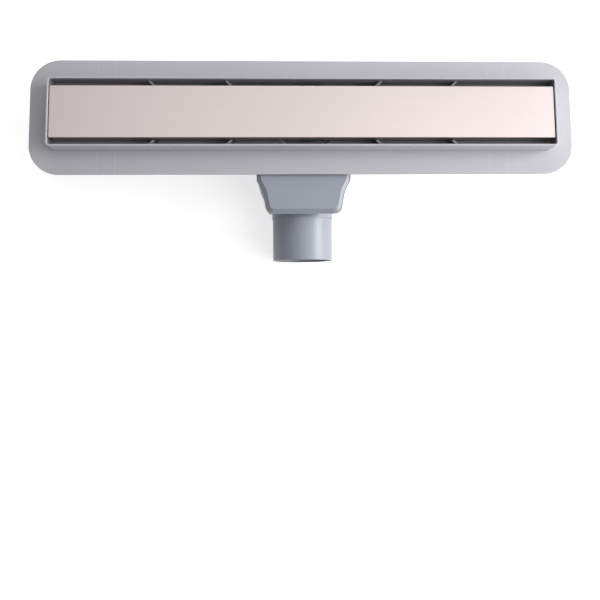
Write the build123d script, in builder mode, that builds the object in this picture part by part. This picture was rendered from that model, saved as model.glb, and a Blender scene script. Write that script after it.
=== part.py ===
from build123d import *
from math import atan2, cos, radians, sin, tan
import os

os.makedirs("parts", exist_ok=True)

# Linear shower drain with a low trap that swivels on the channel's neck.
# Origin: the middle of the trap's flat base, on the swivel axis. +Z is up,
# the channel lies along X, and the spigot points along -Y at rest.

# Trap plan, seen from above: distances from the swivel axis and half widths
cup_radius = 36.0
throat_half_width = 26.0
shoulder_half_width = 38.3
shoulder_rear = 40.0
waist_half_width = 33.5
nose_half_width = 30.2
body_nose_reach = 73.2
nose_overhang = 4.8

# Where the shoulders end and the waist lies, as shares of the chamber's length
shoulder_share = 0.33
waist_share = 0.6

# Corner rounding of that plan
rear_corner_radius = 3.0
shoulder_radius = 8.0
waist_radius = 20.0
nose_corner_radius = 6.0
throat_corner_radius = 3.0

# Trap shells
trap_height = 64.0
trap_wall = 2.0
top_plate_thickness = 2.0
lip_thickness = 1.3
lip_overhang = 1.2
lip_step = 0.8
upper_edge = 0.3
edge_run = 2.8
edge_drop = 3.4
weld_gap = 0.1
tongue_height = 3.0
tongue_thickness = 1.6
cup_base_rounding = 8.0
chamber_base_rounding = 17.0
chamber_draft = 4.0
nose_base_rounding = 9.0

# Spigot, for a 50 mm waste pipe: it falls a little and has a stop at its root
spigot_radius = 25.0
spigot_wall = 1.8
spigot_lift = 3.0
spigot_length = 42.0
spigot_fall = 1.5
spigot_edge = 0.6
stop_step = 0.6
stop_length = 7.0

# Neck of the channel and the socket that swivels on it
neck_radius = 28.0
neck_bore_radius = 24.0
neck_length = 16.5
swivel_gap = 2.0
socket_clearance = 0.4
socket_wall = 2.2
socket_length = 10.0
seal_clearance = 0.05
swivel_seal_section = 2.5
swivel_seal_depth = 6.0
groove_slack = 0.3
ring_clearance = 0.2
ring_thickness = 2.2
ring_depth = 1.4
ring_reach = 1.8
ring_opening = 5.0

# Channel
flange_length = 440.0
flange_width = 94.0
flange_thickness = 2.0
flange_corner_radius = 24.0
flange_edge = 0.6
rim_length = 404.0
rim_width = 55.5
rim_wall = 1.5
rim_height = 19.0
rim_corner_radius = 3.0
rim_edge = 0.5
floor_thickness = 2.2
floor_height = 2.0
floor_fall = 3.0
floor_weld = 0.5
dish_radius = 29.0

# Stiffening ribs under the flange and the dimples in the rim beside them
rib_depth = 2.5
rib_thickness = 1.5
rib_spacing = 14.5
rib_station = 158.5
rib_margin = 4.0
keel_start = 92.0
dimple_radius = 1.1
dimple_depth = 1.2
dimple_height = 2.4

# Cover plate: sheet folded down on four sides
cover_length = 400.0
cover_width = 42.0
cover_sheet = 1.2
cover_fold = 9.0
cover_drop = 1.2
cover_edge = 0.7
cover_corner_radius = 1.0
cover_corner_relief = 2.6

# Slanted fins that carry and centre the cover
fin_near_station = 62.0
fin_far_station = 123.0
fin_slant = 45.0
fin_thickness = 1.6
fin_length = 20.0
fin_seat_length = 6.5
fin_toe_drop = 4.0
fin_nib_height = 5.0
fin_root = 1.0
fin_clearance = 0.25
pad_thickness = 0.8
pad_skirt = 1.6
pad_side = 0.7
pad_clearance = 0.05

# Removable trap cup, hung in the neck by its flange
insert_clearance = 0.4
insert_wall = 1.6
insert_flange_radius = 26.0
insert_flange_thickness = 1.2
insert_flange_clearance = 0.15
insert_collar_height = 16.0
insert_step = 1.1
insert_base_gap = 3.8
insert_base_rounding = 4.0
insert_seal_section = 1.8
insert_seal_depth = 2.7
insert_ledge_depth = 8.0
insert_ledge_width = 1.5
insert_ledge_thickness = 2.0
window_width = 22.0
window_height = 10.0
window_drop = 3.0

# Dip tube: funnel, tube and the ring it sits on
dip_tube_radius = 11.5
dip_tube_wall = 1.5
dip_tube_lift = 10.0
funnel_clearance = 0.2
funnel_rim_thickness = 1.4
funnel_depth = 9.0
dip_seal_thickness = 0.8

# Hair strainer: perforated dish with a pull knob
strainer_skirt_height = 4.2
strainer_skirt_wall = 1.2
strainer_sheet = 1.2
strainer_hole_radius = 1.7
strainer_ring_radii = (7.5, 13.5)
strainer_hole_counts = (8, 14)
knob_radius = 3.4
knob_waist_radius = 2.0
knob_height = 5.5
knob_foot = 1.4
knob_head = 2.8

# Reaches of the trap that follow
chamber_length = body_nose_reach - shoulder_rear
shoulder_front = shoulder_rear + shoulder_share * chamber_length
waist_reach = shoulder_rear + waist_share * chamber_length
lip_nose_reach = body_nose_reach + nose_overhang
nose_face = body_nose_reach - lip_overhang

# Heights that follow from the sizes above
seam_height = trap_height - edge_drop - upper_edge - lip_thickness
lip_top = seam_height + lip_thickness
channel_underside = trap_height + swivel_gap
flange_top = channel_underside + flange_thickness
rim_top = flange_top + rim_height
sump_top = flange_top + floor_height
neck_bottom = channel_underside - neck_length
spigot_axis_height = spigot_lift + spigot_radius
socket_bottom = trap_height - socket_length
cover_top = rim_top - cover_drop
cover_bottom = cover_top - cover_fold
seat_height = cover_bottom - pad_thickness

# Radii and half widths that follow
socket_radius = neck_radius + socket_clearance
inner_half_length = rim_length / 2 - rim_wall
inner_half_width = rim_width / 2 - rim_wall
insert_recess_radius = insert_flange_radius + insert_flange_clearance
insert_radius = neck_bore_radius - insert_clearance
bucket_radius = insert_radius - insert_step
bucket_bore_radius = bucket_radius - insert_wall
funnel_radius = bucket_bore_radius - funnel_clearance
ledge_radius = bucket_bore_radius - insert_ledge_width
spigot_bore_radius = spigot_radius - spigot_wall

# Heights of the inner pieces
seal_groove_height = trap_height - swivel_seal_depth
ring_bottom = socket_bottom - ring_clearance - ring_thickness
ring_groove_radius = neck_radius - ring_depth
insert_base = trap_wall + insert_base_gap
insert_seal_height = flange_top - insert_flange_thickness - insert_seal_depth
collar_bottom = flange_top - insert_collar_height
ledge_top = flange_top - insert_ledge_depth
window_bottom = collar_bottom - insert_step - window_drop - window_height
rim_seat = ledge_top + dip_seal_thickness
rim_face = rim_seat + funnel_rim_thickness
dish_face = rim_face + strainer_skirt_height


def chamber_plan(inset, nose):
    """Plan of the chamber, drawn in by an inset: throat, wide shoulders, waist and nose."""
    right = [
        (throat_half_width - inset, 0),
        (throat_half_width - inset, -shoulder_rear - inset),
        (shoulder_half_width - inset, -shoulder_rear - inset),
        (shoulder_half_width - inset, -shoulder_front),
        (waist_half_width - inset, -waist_reach),
        (nose_half_width - inset, -nose + inset),
    ]
    left = [(-x, y) for x, y in reversed(right)]
    half_side = (shoulder_front - shoulder_rear - inset) / 2
    shoulder_turn = atan2(shoulder_half_width - waist_half_width, waist_reach - shoulder_front)
    rear_corner = min(rear_corner_radius, half_side)
    shoulder = min(shoulder_radius, half_side / tan(shoulder_turn / 2))
    corners = [throat_corner_radius, rear_corner, shoulder, waist_radius, nose_corner_radius]
    with BuildSketch() as plan:
        with BuildLine():
            outline = FilletPolyline(*right, *left, radius=corners + corners[::-1])
            Line(outline @ 1, outline @ 0)
        make_face()
    return plan.sketch


def trap_plan(inset, nose):
    """Plan of the whole trap: the chamber and the round cup behind it."""
    with BuildSketch() as plan:
        add(chamber_plan(inset, nose))
        Circle(cup_radius - inset)
    return plan.sketch


def lower_form(shrink, top):
    """Cup and chamber below the seam as one closed form, shrunk inwards by a wall."""
    base_half_width = shoulder_half_width - tan(radians(chamber_draft)) * seam_height
    nose = -nose_face + shrink
    with BuildPart() as chamber:
        with BuildSketch(Plane.XY.offset(shrink)):
            add(chamber_plan(lip_overhang + shrink, body_nose_reach))
        extrude(amount=top - shrink)
        with BuildSketch(Plane.XZ) as section:
            Polygon(
                (-base_half_width + shrink, shrink),
                (base_half_width - shrink, shrink),
                (shoulder_half_width - shrink, top),
                (-shoulder_half_width + shrink, top),
                align=None,
            )
            fillet(section.vertices().group_by(Axis.Y)[0], radius=chamber_base_rounding - shrink)
        extrude(amount=lip_nose_reach, mode=Mode.INTERSECT)
        with BuildSketch(Plane.YZ) as profile:
            Polygon((0, shrink), (0, top), (nose, top), (nose, shrink), align=None)
            nose_corner = profile.vertices().sort_by_distance((nose, shrink))[0]
            fillet(nose_corner, radius=nose_base_rounding - shrink)
        extrude(amount=shoulder_half_width, both=True, mode=Mode.INTERSECT)
    with BuildPart() as cup:
        with BuildSketch(Plane.XY.offset(shrink)):
            Circle(cup_radius - lip_overhang - shrink)
        extrude(amount=top - shrink)
        fillet(cup.edges().group_by(Axis.Z)[0], radius=cup_base_rounding - shrink)
    with BuildPart() as form:
        add(chamber.part)
        add(cup.part)
    return form.part


def ring_face(height, outer, inner):
    """A flat ring about the swivel axis, at a height."""
    with BuildSketch(Plane.XY.offset(height)) as ring:
        Circle(outer)
        Circle(inner, mode=Mode.SUBTRACT)
    return ring.sketch


def floor_level(x):
    """Height of the channel floor's top at a distance along the channel."""
    fall = floor_fall / (inner_half_length - dish_radius)
    return sump_top + fall * max(abs(x) - dish_radius, 0)


def fin_plane(x, side):
    """Upright plane along a fin, from its foot on the rim wall towards the sump."""
    inwards = -1 if x > 0 else 1
    along = Vector(inwards * sin(radians(fin_slant)), -side * cos(radians(fin_slant)), 0)
    return Plane(origin=(x, side * inner_half_width, 0), x_dir=along, z_dir=(along.Y, -along.X, 0))


def pad_plane(x, side):
    """Plane across a fin, where its pad starts beside the nib."""
    fin = fin_plane(x, side)
    start = fin.origin + fin.x_dir * (nib_end + pad_clearance)
    return Plane(origin=start, x_dir=-fin.z_dir, z_dir=fin.x_dir)


# Cuts in the neck and the trap cup: seal grooves, ring groove and the dish over the sump
seal_groove = ring_face(seal_groove_height - swivel_seal_section / 2 - groove_slack, socket_radius,
                        socket_radius - swivel_seal_section - 2 * seal_clearance)
ring_groove = ring_face(ring_bottom, socket_radius, ring_groove_radius)
insert_groove = ring_face(insert_seal_height - insert_seal_section / 2 - groove_slack, neck_bore_radius,
                          neck_bore_radius - insert_seal_section - 2 * seal_clearance)
with BuildPart() as dish_cut:
    with BuildSketch(Plane.XZ):
        Polygon((0, flange_top), (insert_recess_radius, flange_top), (dish_radius, sump_top), (0, sump_top),
                align=None)
    revolve(axis=Axis.Z)
    with BuildSketch(Plane.XY.offset(flange_top)):
        Rectangle(2 * dish_radius, 2 * inner_half_width)
    extrude(amount=floor_height, mode=Mode.INTERSECT)
dish = dish_cut.part

# The fins stand in mirrored pairs along both walls
fin_stations = (-fin_far_station, -fin_near_station, fin_near_station, fin_far_station)
fin_places = [(x, side) for x in fin_stations for side in (-1, 1)]
slot_width = inner_half_width - cover_width / 2
nib_end = (slot_width - fin_clearance) / cos(radians(fin_slant)) - fin_thickness / 2 * tan(radians(fin_slant))
seat_end = nib_end + fin_seat_length

# Channel body: flange, rim, sloping floor, fins and neck in one moulding
with BuildPart() as channel_body:
    with BuildSketch(Plane.XY.offset(channel_underside)):
        RectangleRounded(flange_length, flange_width, flange_corner_radius)
        RectangleRounded(rim_length - rim_wall, rim_width - rim_wall, rim_corner_radius, mode=Mode.SUBTRACT)
    extrude(amount=flange_thickness)
    fillet(channel_body.faces().sort_by(Axis.Z)[-1].outer_wire().edges(), radius=flange_edge)
    with BuildSketch(Plane.XY.offset(channel_underside)):
        RectangleRounded(rim_length, rim_width, rim_corner_radius)
        RectangleRounded(2 * inner_half_length, 2 * inner_half_width, rim_corner_radius - rim_wall,
                         mode=Mode.SUBTRACT)
    extrude(amount=rim_top - channel_underside)
    fillet(channel_body.faces().sort_by(Axis.Z)[-1].edges(), radius=rim_edge)

    # Floor that falls from both ends to the sump
    floor_half = inner_half_length + floor_weld
    floor_end = floor_level(floor_half)
    with BuildSketch(Plane.XZ):
        Polygon(
            (-floor_half, floor_end), (-dish_radius, sump_top), (dish_radius, sump_top),
            (floor_half, floor_end), (floor_half, floor_end - floor_thickness),
            (dish_radius, sump_top - floor_thickness), (-dish_radius, sump_top - floor_thickness),
            (-floor_half, floor_end - floor_thickness),
            align=None,
        )
    extrude(amount=inner_half_width + floor_weld, both=True)

    # Slanted fins: a nib beside the cover and a seat under its folded edge
    for x, side in fin_places:
        with BuildSketch(fin_plane(x, side)):
            Polygon(
                (-fin_root, floor_level(x) - fin_root), (-fin_root, seat_height + fin_nib_height),
                (nib_end, seat_height + fin_nib_height), (nib_end, seat_height), (seat_end, seat_height),
                (fin_length, seat_height - fin_toe_drop), (fin_length, floor_level(x) - fin_root),
                align=None,
            )
        extrude(amount=fin_thickness / 2, both=True)

    # Neck below the floor
    with BuildSketch(Plane.XY.offset(neck_bottom)):
        Circle(neck_radius)
    extrude(amount=flange_top - neck_bottom)
    with BuildSketch(Plane.XY.offset(neck_bottom)):
        Circle(neck_bore_radius)
    extrude(amount=sump_top - neck_bottom, mode=Mode.SUBTRACT)
    with BuildSketch(Plane.XY.offset(flange_top - insert_flange_thickness)):
        Circle(insert_recess_radius)
    extrude(amount=insert_flange_thickness + floor_height, mode=Mode.SUBTRACT)
    add(dish, mode=Mode.SUBTRACT)
    extrude(seal_groove, amount=swivel_seal_section + 2 * groove_slack, mode=Mode.SUBTRACT)
    extrude(ring_groove, amount=ring_thickness, mode=Mode.SUBTRACT)

    # Ribs under the flange: two pairs across it and a keel under each long wall
    with BuildSketch(Plane.XY.offset(channel_underside - rib_depth)):
        rib_length = (flange_width - rim_width) / 2 + rim_wall - rib_margin
        for x in (-rib_station, rib_station):
            with Locations((x, 0)):
                with GridLocations(rib_spacing, rim_width - 2 * rim_wall + rib_length, 2, 2):
                    Rectangle(rib_thickness, rib_length)
        with GridLocations(inner_half_length + keel_start, rim_width - rim_wall, 2, 2):
            Rectangle(inner_half_length - keel_start, rib_thickness)
    extrude(amount=rib_depth)

    # Round dimples in both long walls, between the rib lines
    for x in (-rib_station, rib_station):
        for side in (-1, 1):
            face = Plane(origin=(x, side * rim_width / 2, flange_top + dimple_height), z_dir=(0, side, 0))
            with BuildSketch(face):
                Circle(dimple_radius)
            extrude(amount=-dimple_depth, mode=Mode.SUBTRACT)
channel_body.part.label = "channel_body"
export_step(channel_body.part, "parts/channel_body.step")

# Cover plate: a shallow pan of folded sheet, its folds parted at the corners
with BuildPart() as cover_plate:
    with BuildSketch(Plane.XY.offset(cover_bottom)):
        RectangleRounded(cover_length, cover_width, cover_corner_radius)
    extrude(amount=cover_fold)
    fillet(cover_plate.faces().sort_by(Axis.Z)[-1].edges(), radius=cover_edge)
    with BuildSketch(Plane.XY.offset(cover_bottom)):
        Rectangle(cover_length - 2 * cover_sheet, cover_width - 2 * cover_sheet)
        with GridLocations(cover_length, cover_width, 2, 2):
            Rectangle(2 * cover_corner_relief, 2 * cover_corner_relief)
    extrude(amount=cover_fold - cover_sheet, mode=Mode.SUBTRACT)
cover_plate.part.label = "cover_plate"
export_step(cover_plate.part, "parts/cover_plate.step")

# Rubber caps on the seats of the fins
with BuildPart() as cover_pads:
    pad_half = fin_thickness / 2 + pad_clearance
    for x, side in fin_places:
        with BuildSketch(pad_plane(x, side)):
            Polygon(
                (-pad_half - pad_side, seat_height - pad_skirt), (-pad_half, seat_height - pad_skirt),
                (-pad_half, seat_height), (pad_half, seat_height), (pad_half, seat_height - pad_skirt),
                (pad_half + pad_side, seat_height - pad_skirt), (pad_half + pad_side, cover_bottom),
                (-pad_half - pad_side, cover_bottom),
                align=None,
            )
        extrude(amount=seat_end - nib_end - 2 * pad_clearance)
cover_pads.part.label = "cover_pads"
export_step(cover_pads.part, "parts/cover_pads.step")

# Trap's upper shell: top plate with sloping edges, lip, socket and welding tongue
upper_wall_inset = lip_step + edge_run + lip_step
tongue_inset = lip_overhang + trap_wall + weld_gap
with BuildPart() as trap_upper_shell:
    with BuildSketch(Plane.XY.offset(lip_top)):
        add(trap_plan(lip_step, lip_nose_reach))
    extrude(amount=trap_height - lip_top)
    top_face = trap_upper_shell.faces().sort_by(Axis.Z)[-1]
    chamfer(top_face.edges(), length=edge_run, length2=edge_drop, reference=top_face)
    with BuildSketch(Plane.XY.offset(seam_height)):
        add(trap_plan(0, lip_nose_reach))
    extrude(amount=lip_thickness)
    with BuildSketch(Plane.XY.offset(seam_height)):
        add(trap_plan(upper_wall_inset, body_nose_reach))
    extrude(amount=trap_height - top_plate_thickness - seam_height, mode=Mode.SUBTRACT)
    with BuildSketch(Plane.XY.offset(seam_height - tongue_height)):
        add(trap_plan(tongue_inset, body_nose_reach))
        add(trap_plan(tongue_inset + tongue_thickness, body_nose_reach), mode=Mode.SUBTRACT)
    extrude(amount=tongue_height)
    with BuildSketch(Plane.XY.offset(socket_bottom)):
        Circle(socket_radius + socket_wall)
    extrude(amount=socket_length)
    with BuildSketch(Plane.XY.offset(socket_bottom)):
        Circle(socket_radius)
    extrude(amount=socket_length, mode=Mode.SUBTRACT)
trap_upper_shell.part.label = "trap_upper_shell"
export_step(trap_upper_shell.part, "parts/trap_upper_shell.step")

# Trap's lower shell: cup, chamber and spigot in one moulding
outer_form = lower_form(0, seam_height)
inner_form = lower_form(trap_wall, seam_height + trap_wall)
fall = radians(spigot_fall)
spigot_plane = Plane(origin=(0, -nose_face, spigot_axis_height), z_dir=(0, -cos(fall), -sin(fall)))
with BuildPart() as trap_lower_shell:
    add(outer_form)
    with BuildSketch(spigot_plane.offset(-trap_wall)):
        Circle(spigot_radius)
    extrude(amount=spigot_length + trap_wall)
    fillet(trap_lower_shell.edges().sort_by(Axis.Y)[0], radius=spigot_edge)
    with BuildSketch(spigot_plane.offset(-trap_wall)):
        Circle(spigot_radius + stop_step)
    extrude(amount=stop_length + trap_wall)
    add(inner_form, mode=Mode.SUBTRACT)
    with BuildSketch(spigot_plane.offset(-2 * trap_wall)):
        Circle(spigot_bore_radius)
    extrude(amount=spigot_length + 2 * trap_wall, mode=Mode.SUBTRACT)
trap_lower_shell.part.label = "trap_lower_shell"
export_step(trap_lower_shell.part, "parts/trap_lower_shell.step")

# Square-cut rubber ring in the neck's upper groove
with BuildPart() as swivel_seal:
    with BuildSketch(Plane.XY.offset(seal_groove_height - swivel_seal_section / 2)):
        Circle(socket_radius - seal_clearance)
        Circle(socket_radius - seal_clearance - swivel_seal_section, mode=Mode.SUBTRACT)
    extrude(amount=swivel_seal_section)
swivel_seal.part.label = "swivel_seal"
export_step(swivel_seal.part, "parts/swivel_seal.step")

# Square-cut rubber ring in the trap cup's collar
with BuildPart() as trap_cup_seal:
    with BuildSketch(Plane.XY.offset(insert_seal_height - insert_seal_section / 2)):
        Circle(neck_bore_radius - seal_clearance)
        Circle(neck_bore_radius - seal_clearance - insert_seal_section, mode=Mode.SUBTRACT)
    extrude(amount=insert_seal_section)
trap_cup_seal.part.label = "trap_cup_seal"
export_step(trap_cup_seal.part, "parts/trap_cup_seal.step")

# Split ring in the neck's lower groove, under the socket
with BuildPart() as retaining_ring:
    with BuildSketch(Plane.XY.offset(ring_bottom + seal_clearance)):
        Circle(neck_radius + ring_reach)
        Circle(ring_groove_radius + seal_clearance, mode=Mode.SUBTRACT)
    extrude(amount=ring_thickness - 2 * seal_clearance)
    with BuildSketch(Plane.XY.offset(ring_bottom)):
        with Locations((neck_radius / 2 + ring_reach, 0)):
            Rectangle(neck_radius, ring_opening)
    extrude(amount=ring_thickness, mode=Mode.SUBTRACT)
retaining_ring.part.label = "retaining_ring"
export_step(retaining_ring.part, "parts/retaining_ring.step")

# Trap cup: flange, collar with its seal groove, four windows and the bucket that holds the water
with BuildPart() as trap_cup:
    with BuildSketch(Plane.XZ) as cup_section:
        Polygon(
            (0, insert_base), (bucket_radius, insert_base), (bucket_radius, collar_bottom - insert_step),
            (insert_radius, collar_bottom), (insert_radius, flange_top - insert_flange_thickness),
            (insert_flange_radius, flange_top - insert_flange_thickness), (insert_flange_radius, flange_top),
            (bucket_bore_radius, flange_top), (bucket_bore_radius, ledge_top), (ledge_radius, ledge_top),
            (ledge_radius, ledge_top - insert_ledge_thickness),
            (bucket_bore_radius, ledge_top - insert_ledge_thickness - insert_ledge_width),
            (bucket_bore_radius, insert_base + insert_wall), (0, insert_base + insert_wall),
            align=None,
        )
        corners = cup_section.vertices().filter_by_position(Axis.X, bucket_bore_radius, bucket_radius)
        outer_corner, inner_corner = corners.sort_by(Axis.Y)[0:2]
        fillet(outer_corner, radius=insert_base_rounding)
        fillet(inner_corner, radius=insert_base_rounding - insert_wall)
    revolve(axis=Axis.Z)
    extrude(insert_groove, amount=insert_seal_section + 2 * groove_slack, mode=Mode.SUBTRACT)
    with BuildSketch(Plane.XY.offset(window_bottom)):
        Rectangle(2 * insert_flange_radius, window_width)
        Rectangle(window_width, 2 * insert_flange_radius)
    extrude(amount=window_height, mode=Mode.SUBTRACT)
trap_cup.part.label = "trap_cup"
export_step(trap_cup.part, "parts/trap_cup.step")

# Flat ring under the funnel
with BuildPart() as dip_tube_seal:
    extrude(ring_face(ledge_top, funnel_radius, ledge_radius), amount=dip_seal_thickness)
dip_tube_seal.part.label = "dip_tube_seal"
export_step(dip_tube_seal.part, "parts/dip_tube_seal.step")

# Dip tube: funnel rim on the ring, cone, and the tube down into the water
with BuildPart() as dip_tube:
    with BuildSketch(Plane.XZ):
        Polygon(
            (funnel_radius, rim_seat), (funnel_radius, rim_face), (funnel_radius - dip_tube_wall, rim_face),
            (dip_tube_radius - dip_tube_wall, rim_face - funnel_depth),
            (dip_tube_radius - dip_tube_wall, dip_tube_lift), (dip_tube_radius, dip_tube_lift),
            (dip_tube_radius, rim_face - funnel_depth - funnel_rim_thickness / 2),
            (ledge_radius - funnel_rim_thickness, rim_seat),
            align=None,
        )
    revolve(axis=Axis.Z)
dip_tube.part.label = "dip_tube"
export_step(dip_tube.part, "parts/dip_tube.step")

# Hair strainer: perforated dish on a skirt, with a waisted knob
skirt_bore_radius = funnel_radius - strainer_skirt_wall
with BuildPart() as hair_strainer:
    with BuildSketch(Plane.XZ):
        Polygon(
            (0, dish_face - strainer_sheet), (skirt_bore_radius, dish_face - strainer_sheet),
            (skirt_bore_radius, rim_face), (funnel_radius, rim_face),
            (funnel_radius, dish_face), (knob_radius, dish_face),
            (knob_waist_radius, dish_face + knob_foot),
            (knob_waist_radius, dish_face + knob_height - knob_head),
            (knob_radius, dish_face + knob_height - knob_foot), (knob_radius, dish_face + knob_height),
            (0, dish_face + knob_height),
            align=None,
        )
    revolve(axis=Axis.Z)
    with BuildSketch(Plane.XY.offset(dish_face - strainer_sheet)):
        for ring_radius, hole_count in zip(strainer_ring_radii, strainer_hole_counts):
            with PolarLocations(ring_radius, hole_count):
                Circle(strainer_hole_radius)
    extrude(amount=strainer_sheet, mode=Mode.SUBTRACT)
hair_strainer.part.label = "hair_strainer"
export_step(hair_strainer.part, "parts/hair_strainer.step")
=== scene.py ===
import bpy
from math import radians
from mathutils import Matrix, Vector

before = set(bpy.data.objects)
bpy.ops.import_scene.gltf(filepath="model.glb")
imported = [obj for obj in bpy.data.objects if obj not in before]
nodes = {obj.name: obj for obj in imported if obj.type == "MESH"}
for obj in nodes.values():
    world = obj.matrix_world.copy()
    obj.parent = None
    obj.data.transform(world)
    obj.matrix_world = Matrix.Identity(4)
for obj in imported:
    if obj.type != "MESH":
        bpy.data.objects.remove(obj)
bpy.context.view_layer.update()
scene = bpy.context.scene
scene.view_settings.view_transform = "Standard"

# Sizes of the channel that its finish refers to, in metres
RIM_HALF_WIDTH = 0.02775
RIM_HALF_LENGTH = 0.202
RIM_WALL = 0.0015
RIM_TOP = 0.087
SUMP_RADIUS = 0.029
FLOOR_MIDDLE = 0.0689    # height halfway through the floor's thickness, at the sump
FLOOR_FALL = 0.0175      # how much the floor rises for each metre away from the sump

# Painted shade inside the channel: how far below the rim's edge the painted shade is at its
# darkest, and how much of its colour the plastic keeps under it there
SHADE_DEPTH = 0.0045
PAINTED_SHADE_SHARE = 0.47

# Faint marks of the mould across the flange: where along it, how wide, how strong
MARK_STATIONS = (0.15125, 0.16575)
MARK_HALF_WIDTH = 0.0006
MARK_CLEARANCE = 0.001    # from the rim's wall to where a mark starts
MARK_STRENGTH = 0.35
MARK_COLOUR = (0.60, 0.59, 0.62)

# The colour that the painted shade inside the channel darkens towards
PAINTED_SHADE_COLOUR = (0, 0, 0)

# Moulded plastic: clouds in its colour, patches in its roughness, a fine grain in its relief
CLOUD_SCALE = 14.0
PATCH_SCALE = 60.0
PATCH_SPREAD = 0.04
FINE_SCALE = 2500.0
FINE_STRENGTH = 0.06

RUBBER_SCALE = 300.0
RUBBER_ROUGHNESS = 0.75

# Brushed steel: long thin grain along X, and broad patches in its roughness
GRAIN_STRETCH = (6.0, 2600.0, 2600.0)
GRAIN_DETAIL = 3.0
GRAIN_STRENGTH = 0.10
BROAD_SCALE = 9.0
STEEL_ROUGHNESS = 0.36, 0.42

RELIEF_DEPTH = 0.0001    # of every relief, in metres

# Brightness of the room: as light on the object, and as what its glossy pieces mirror
ROOM_COLOUR = (0.97, 0.98, 1.0)
ROOM_LIGHT = 0.21
ROOM_MIRRORED = 0.6

# The floor, with light of its own for the camera, and for what mirrors it or looks through
# something at it
GROUND_SIZE = 8
GROUND_HEIGHT = -0.0005
GROUND_COLOUR = (0.9, 0.9, 0.9)
GROUND_SEEN = 0.62
GROUND_MIRRORED = 0.45


# Small helpers for node trees. An input is given as a plain value or as another node's output
def new_material(name):
    material = bpy.data.materials.new(name)
    material.use_nodes = True
    tree = material.node_tree
    return material, tree, tree.nodes["Principled BSDF"]


def add_node(tree, kind, **values):
    node = tree.nodes.new(kind)
    for key, value in values.items():
        if key in node.inputs:
            node.inputs[key].default_value = value
        else:
            setattr(node, key, value)
    return node


def math_node(tree, operation, *values):
    node = add_node(tree, "ShaderNodeMath", operation=operation)
    for socket, value in zip(node.inputs, values):
        if isinstance(value, bpy.types.NodeSocket):
            tree.links.new(value, socket)
        else:
            socket.default_value = value
    return node.outputs["Value"]


def mix_colours(tree, factor, first, second):
    node = add_node(tree, "ShaderNodeMix", data_type="RGBA")
    tree.links.new(factor, node.inputs["Factor"])
    for key, colour in (("A", first), ("B", second)):
        if isinstance(colour, bpy.types.NodeSocket):
            tree.links.new(colour, node.inputs[key])
        else:
            node.inputs[key].default_value = (*colour, 1)
    return node.outputs["Result"]


def noise(tree, scale, stretch=(1, 1, 1), detail=2.0):
    place = add_node(tree, "ShaderNodeTexCoord")
    mapping = add_node(tree, "ShaderNodeMapping", Scale=stretch)
    texture = add_node(tree, "ShaderNodeTexNoise", Scale=scale, Detail=detail)
    tree.links.new(place.outputs["Object"], mapping.inputs["Vector"])
    tree.links.new(mapping.outputs["Vector"], texture.inputs["Vector"])
    return texture.outputs["Fac"]


def span(tree, factor, low, high, start=0.0, end=1.0):
    limits = {"From Min": start, "From Max": end, "To Min": low, "To Max": high}
    node = add_node(tree, "ShaderNodeMapRange", **limits)
    tree.links.new(factor, node.inputs["Value"])
    return node.outputs["Result"]


def add_relief(tree, surface, height, strength):
    bump = add_node(tree, "ShaderNodeBump", Strength=strength, Distance=RELIEF_DEPTH)
    tree.links.new(height, bump.inputs["Height"])
    tree.links.new(bump.outputs["Normal"], surface.inputs["Normal"])


def moulded_plastic(name, dark, light, roughness, recolour=None):
    """Clouded plastic. recolour is given the tree and the colour, and returns the colour to use."""
    material, tree, surface = new_material(name)
    colour = mix_colours(tree, noise(tree, CLOUD_SCALE), dark, light)
    if recolour:
        colour = recolour(tree, colour)
    patches = noise(tree, PATCH_SCALE)
    rough = span(tree, patches, roughness - PATCH_SPREAD, roughness + PATCH_SPREAD)
    tree.links.new(colour, surface.inputs["Base Color"])
    tree.links.new(rough, surface.inputs["Roughness"])
    add_relief(tree, surface, noise(tree, FINE_SCALE, detail=1.0), FINE_STRENGTH)
    return material


def rubber(name, dark, light):
    material, tree, surface = new_material(name)
    colour = mix_colours(tree, noise(tree, RUBBER_SCALE), dark, light)
    tree.links.new(colour, surface.inputs["Base Color"])
    surface.inputs["Roughness"].default_value = RUBBER_ROUGHNESS
    return material


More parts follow.
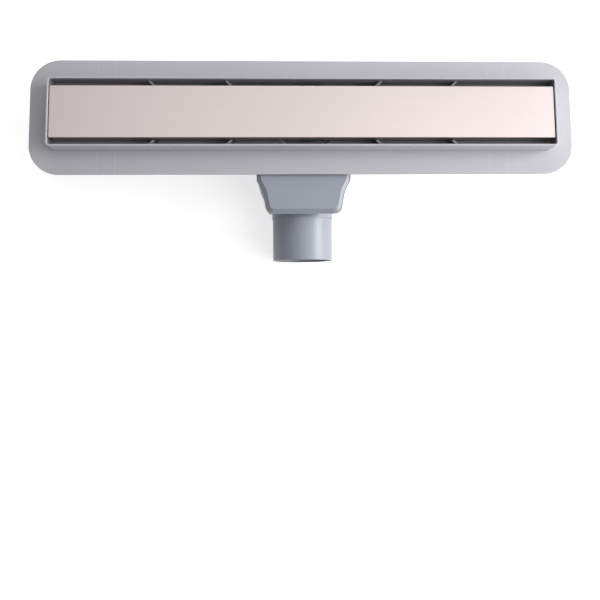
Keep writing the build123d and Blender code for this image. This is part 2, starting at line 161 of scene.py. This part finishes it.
def mark_and_painted_shade(tree, colour):
    """The channel's colour, with the marks across its flange, and painted shade darkening the
    inside of the channel.
    """
    place = add_node(tree, "ShaderNodeTexCoord")
    axes = add_node(tree, "ShaderNodeSeparateXYZ")
    tree.links.new(place.outputs["Object"], axes.inputs["Vector"])
    along = math_node(tree, "ABSOLUTE", axes.outputs["X"])
    across = math_node(tree, "ABSOLUTE", axes.outputs["Y"])
    height = axes.outputs["Z"]

    marked = 0.0
    for station in MARK_STATIONS:
        mark = math_node(tree, "COMPARE", along, station, MARK_HALF_WIDTH)
        marked = math_node(tree, "MAXIMUM", marked, mark)
    outside = math_node(tree, "GREATER_THAN", across, RIM_HALF_WIDTH + MARK_CLEARANCE)
    marked = math_node(tree, "MULTIPLY", marked, outside)
    marked = math_node(tree, "MULTIPLY", marked, MARK_STRENGTH)
    colour = mix_colours(tree, marked, colour, MARK_COLOUR)

    # Painted shade inside: between the rim's walls, above the sloping floor, deepening from the
    # rim's edge down
    between_sides = math_node(tree, "LESS_THAN", across, RIM_HALF_WIDTH - RIM_WALL / 2)
    between_ends = math_node(tree, "LESS_THAN", along, RIM_HALF_LENGTH - RIM_WALL / 2)
    within = math_node(tree, "MULTIPLY", between_sides, between_ends)
    beyond_sump = math_node(tree, "SUBTRACT", along, SUMP_RADIUS)
    beyond_sump = math_node(tree, "MAXIMUM", beyond_sump, 0.0)
    floor_middle = math_node(tree, "MULTIPLY", beyond_sump, FLOOR_FALL)
    floor_middle = math_node(tree, "ADD", floor_middle, FLOOR_MIDDLE)
    above_floor = math_node(tree, "GREATER_THAN", height, floor_middle)
    within = math_node(tree, "MULTIPLY", within, above_floor)
    deep = span(tree, height, 1.0, 0.0, RIM_TOP - SHADE_DEPTH, RIM_TOP)
    inside = math_node(tree, "MULTIPLY", within, deep)
    inside = math_node(tree, "MULTIPLY", inside, 1 - PAINTED_SHADE_SHARE)
    # Mix in the painted shade: towards black, by how deep inside the channel the surface is
    return mix_colours(tree, inside, colour, PAINTED_SHADE_COLOUR)


def brushed_steel(name, dark, light):
    """Fine satin sheet with its grain along the plate."""
    material, tree, surface = new_material(name)
    grain = noise(tree, 1.0, GRAIN_STRETCH, GRAIN_DETAIL)
    rough = span(tree, noise(tree, BROAD_SCALE), *STEEL_ROUGHNESS)
    tree.links.new(mix_colours(tree, grain, dark, light), surface.inputs["Base Color"])
    tree.links.new(rough, surface.inputs["Roughness"])
    surface.inputs["Metallic"].default_value = 1.0
    add_relief(tree, surface, grain, GRAIN_STRENGTH)
    return material


# Finishes by the record's slots: how each is made, its darker and lighter colour, its roughness
FINISHES = {
    # The channel plastic is recoloured with its mould marks and with painted shade inside the
    # channel
    "channel_plastic": (
        moulded_plastic, (0.50, 0.49, 0.526), (0.53, 0.52, 0.558), 0.42, mark_and_painted_shade),
    "trap_plastic": (moulded_plastic, (0.303, 0.321, 0.372), (0.323, 0.342, 0.396), 0.34),
    "insert_plastic": (moulded_plastic, (0.16, 0.175, 0.18), (0.19, 0.205, 0.21), 0.4),
    "ring_plastic": (moulded_plastic, (0.035, 0.035, 0.038), (0.045, 0.045, 0.048), 0.45),
    "cover_steel": (brushed_steel, (0.585, 0.514, 0.503), (0.662, 0.582, 0.570)),
    "seal_rubber": (rubber, (0.012, 0.012, 0.012), (0.02, 0.02, 0.02)),
    "pad_rubber": (rubber, (0.03, 0.03, 0.033), (0.045, 0.045, 0.05)),
}
FINISH_OF_NODE = {
    "channel_body": "channel_plastic",
    "cover_plate": "cover_steel",
    "cover_pads": "pad_rubber",
    "hair_strainer": "insert_plastic",
    "dip_tube": "insert_plastic",
    "dip_tube_seal": "seal_rubber",
    "trap_cup": "insert_plastic",
    "trap_cup_seal": "seal_rubber",
    "swivel_seal": "seal_rubber",
    "retaining_ring": "ring_plastic",
    "trap_upper_shell": "trap_plastic",
    "trap_lower_shell": "trap_plastic",
}
materials = {name: make(name, *values) for name, (make, *values) in FINISHES.items()}
for name, finish in FINISH_OF_NODE.items():
    nodes[name].data.materials.clear()
    nodes[name].data.materials.append(materials[finish])

# Floor: pale, and nearly white by its own light, which leaves the object's shadow on it
bpy.ops.mesh.primitive_plane_add(size=GROUND_SIZE, location=(0, 0, GROUND_HEIGHT))
floor = bpy.context.object
floor.name = "floor"
floor_material = bpy.data.materials.new("floor")
floor_material.use_nodes = True
tree = floor_material.node_tree
tree.nodes.clear()
rays = add_node(tree, "ShaderNodeLightPath").outputs
mirrored = math_node(tree, "MAXIMUM", rays["Is Glossy Ray"], rays["Is Transmission Ray"])
mirrored = math_node(tree, "MULTIPLY", mirrored, GROUND_MIRRORED)
seen = math_node(tree, "MULTIPLY", rays["Is Camera Ray"], GROUND_SEEN)
paint = add_node(tree, "ShaderNodeBsdfDiffuse", Color=(*GROUND_COLOUR, 1))
glow = add_node(tree, "ShaderNodeEmission")
both = add_node(tree, "ShaderNodeAddShader")
out = add_node(tree, "ShaderNodeOutputMaterial")
tree.links.new(math_node(tree, "MAXIMUM", seen, mirrored), glow.inputs["Strength"])
tree.links.new(paint.outputs["BSDF"], both.inputs[0])
tree.links.new(glow.outputs["Emission"], both.inputs[1])
tree.links.new(both.outputs["Shader"], out.inputs["Surface"])
floor.data.materials.append(floor_material)

# World: a dim even room, pale to what mirrors it and white to what looks straight at it
world = bpy.data.worlds.new("room")
scene.world = world
world.use_nodes = True
tree = world.node_tree
tree.nodes.clear()
rays = add_node(tree, "ShaderNodeLightPath").outputs
room = add_node(tree, "ShaderNodeBackground", Color=(*ROOM_COLOUR, 1))
out = add_node(tree, "ShaderNodeOutputWorld")
mirrored = math_node(tree, "MAXIMUM", rays["Is Glossy Ray"], rays["Is Transmission Ray"])
strength = span(tree, mirrored, ROOM_LIGHT, ROOM_MIRRORED)
strength = math_node(tree, "MAXIMUM", strength, rays["Is Camera Ray"])
tree.links.new(strength, room.inputs["Strength"])
tree.links.new(room.outputs["Background"], out.inputs["Surface"])

# Lamps: soft light mostly from the right, high and low, with weak ones from behind and above.
# For each its place, what it is turned to, its width and height, and its power in watts
LAMPS = {
    "high_right": ((0.45, 0.10, 0.95), (0.05, 0, 0.05), (0.6, 0.6), 0.68),
    "right": ((0.76, 0.06, 0.47), (0.05, 0, 0.05), (0.5, 0.5), 2.6),
    "far_right": ((1.50, 0.10, 0.85), (0.05, 0, 0.05), (0.8, 0.8), 12.3),
    "low_right": ((0.75, -0.30, 0.12), (0, -0.08, 0.03), (0.3, 0.2), 1.9),
    "front_right": ((0.60, -0.45, 0.75), (0.05, 0, 0.05), (0.5, 0.5), 2.1),
    "behind": ((0.0, 0.80, 0.80), (0.0, 0, 0.05), (0.8, 0.4), 2.0),
    "overhead": ((0.0, 0.10, 1.20), (0.0, 0, 0.05), (1.0, 0.6), 1.3),
}
for name, (place, target, size, power) in LAMPS.items():
    data = bpy.data.lights.new(name, "AREA")
    data.shape = "RECTANGLE"
    data.size, data.size_y = size
    data.energy = power
    lamp = bpy.data.objects.new(name, data)
    scene.collection.objects.link(lamp)
    lamp.location = place
    lamp.rotation_mode = "QUATERNION"
    lamp.rotation_quaternion = (Vector(target) - Vector(place)).to_track_quat("-Z", "Y")

# Camera at the photograph's viewing angle: nearly above, a little to the front
camera_data = bpy.data.cameras.new("camera")
camera_data.sensor_width = 36.0
camera_data.lens = 48.604
camera_data.shift_y = -0.125
camera = bpy.data.objects.new("camera", camera_data)
scene.collection.objects.link(camera)
camera.location = (-0.02762, -0.16374, 0.71002)
camera.rotation_euler = (radians(6.7247), radians(-2.0863), radians(-0.4787))
scene.camera = camera
